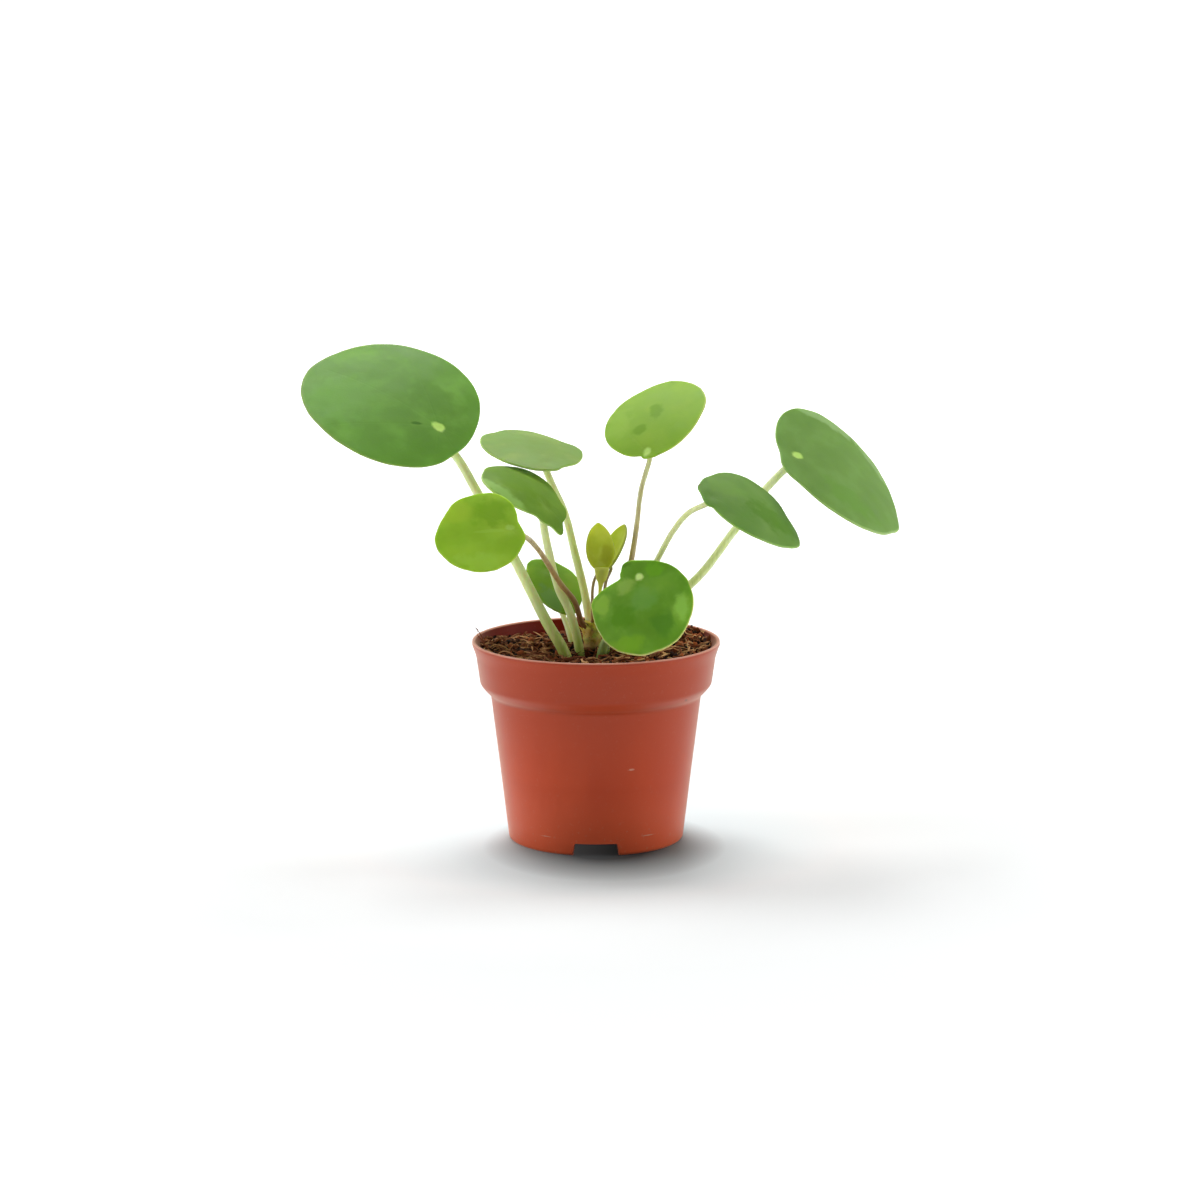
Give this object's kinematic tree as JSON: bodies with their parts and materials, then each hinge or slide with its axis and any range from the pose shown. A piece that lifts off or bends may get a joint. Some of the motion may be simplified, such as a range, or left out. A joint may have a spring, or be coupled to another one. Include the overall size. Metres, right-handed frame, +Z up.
{
  "type": "potted pilea plant",
  "caption": "Young pilea plant with round coin-shaped leaves on long petioles, standing in a small soil-filled plastic grower's pot with drainage notches in its foot.",
  "frame": {"origin": "on the pot's axis at the level it stands on, under the middle of the whole plant's bounding box to within 1 mm", "axes": "+Z up; +X to the right as the picture shows the plant, along its widest spread; -Y towards the viewer, through the foot notch in the middle of the front"},
  "size_m": [0.1451, 0.0696, 0.1168],
  "materials": {
    "pot_plastic": "satin moulded terracotta-coloured plastic",
    "soil": "loose moist peat and coir, matte",
    "stem": "rough, papery",
    "green_petiole": "smooth, slightly glossy plant tissue",
    "reddish_petiole": "smooth, slightly glossy plant tissue",
    "green_blade": "fleshy leaf, satin",
    "yellow_green_blade": "fleshy leaf, satin",
    "young_blade": "soft young leaf, satin"
  },
  "bodies": {
    "root": {"pot": "pot_plastic", "soil": "soil", "stem": "stem", "petiole_far_left": "green_petiole", "blade_far_left": "green_blade", "petiole_back_left": "green_petiole", "blade_back_left": "green_blade", "petiole_arched": "green_petiole", "blade_arched": "green_blade", "petiole_front_left": "reddish_petiole", "blade_front_left": "yellow_green_blade", "petiole_small_low": "green_petiole", "blade_small_low": "green_blade", "petiole_top": "reddish_petiole", "blade_top": "yellow_green_blade", "petiole_middle_right": "green_petiole", "blade_middle_right": "green_blade", "petiole_front": "green_petiole", "blade_front": "green_blade", "petiole_far_right": "green_petiole", "blade_far_right": "green_blade", "petiole_young_left": "reddish_petiole", "blade_young_left": "young_blade", "petiole_young_right": "reddish_petiole", "blade_young_right": "young_blade", "bud": "young_blade"}
  },
  "joints": []
}
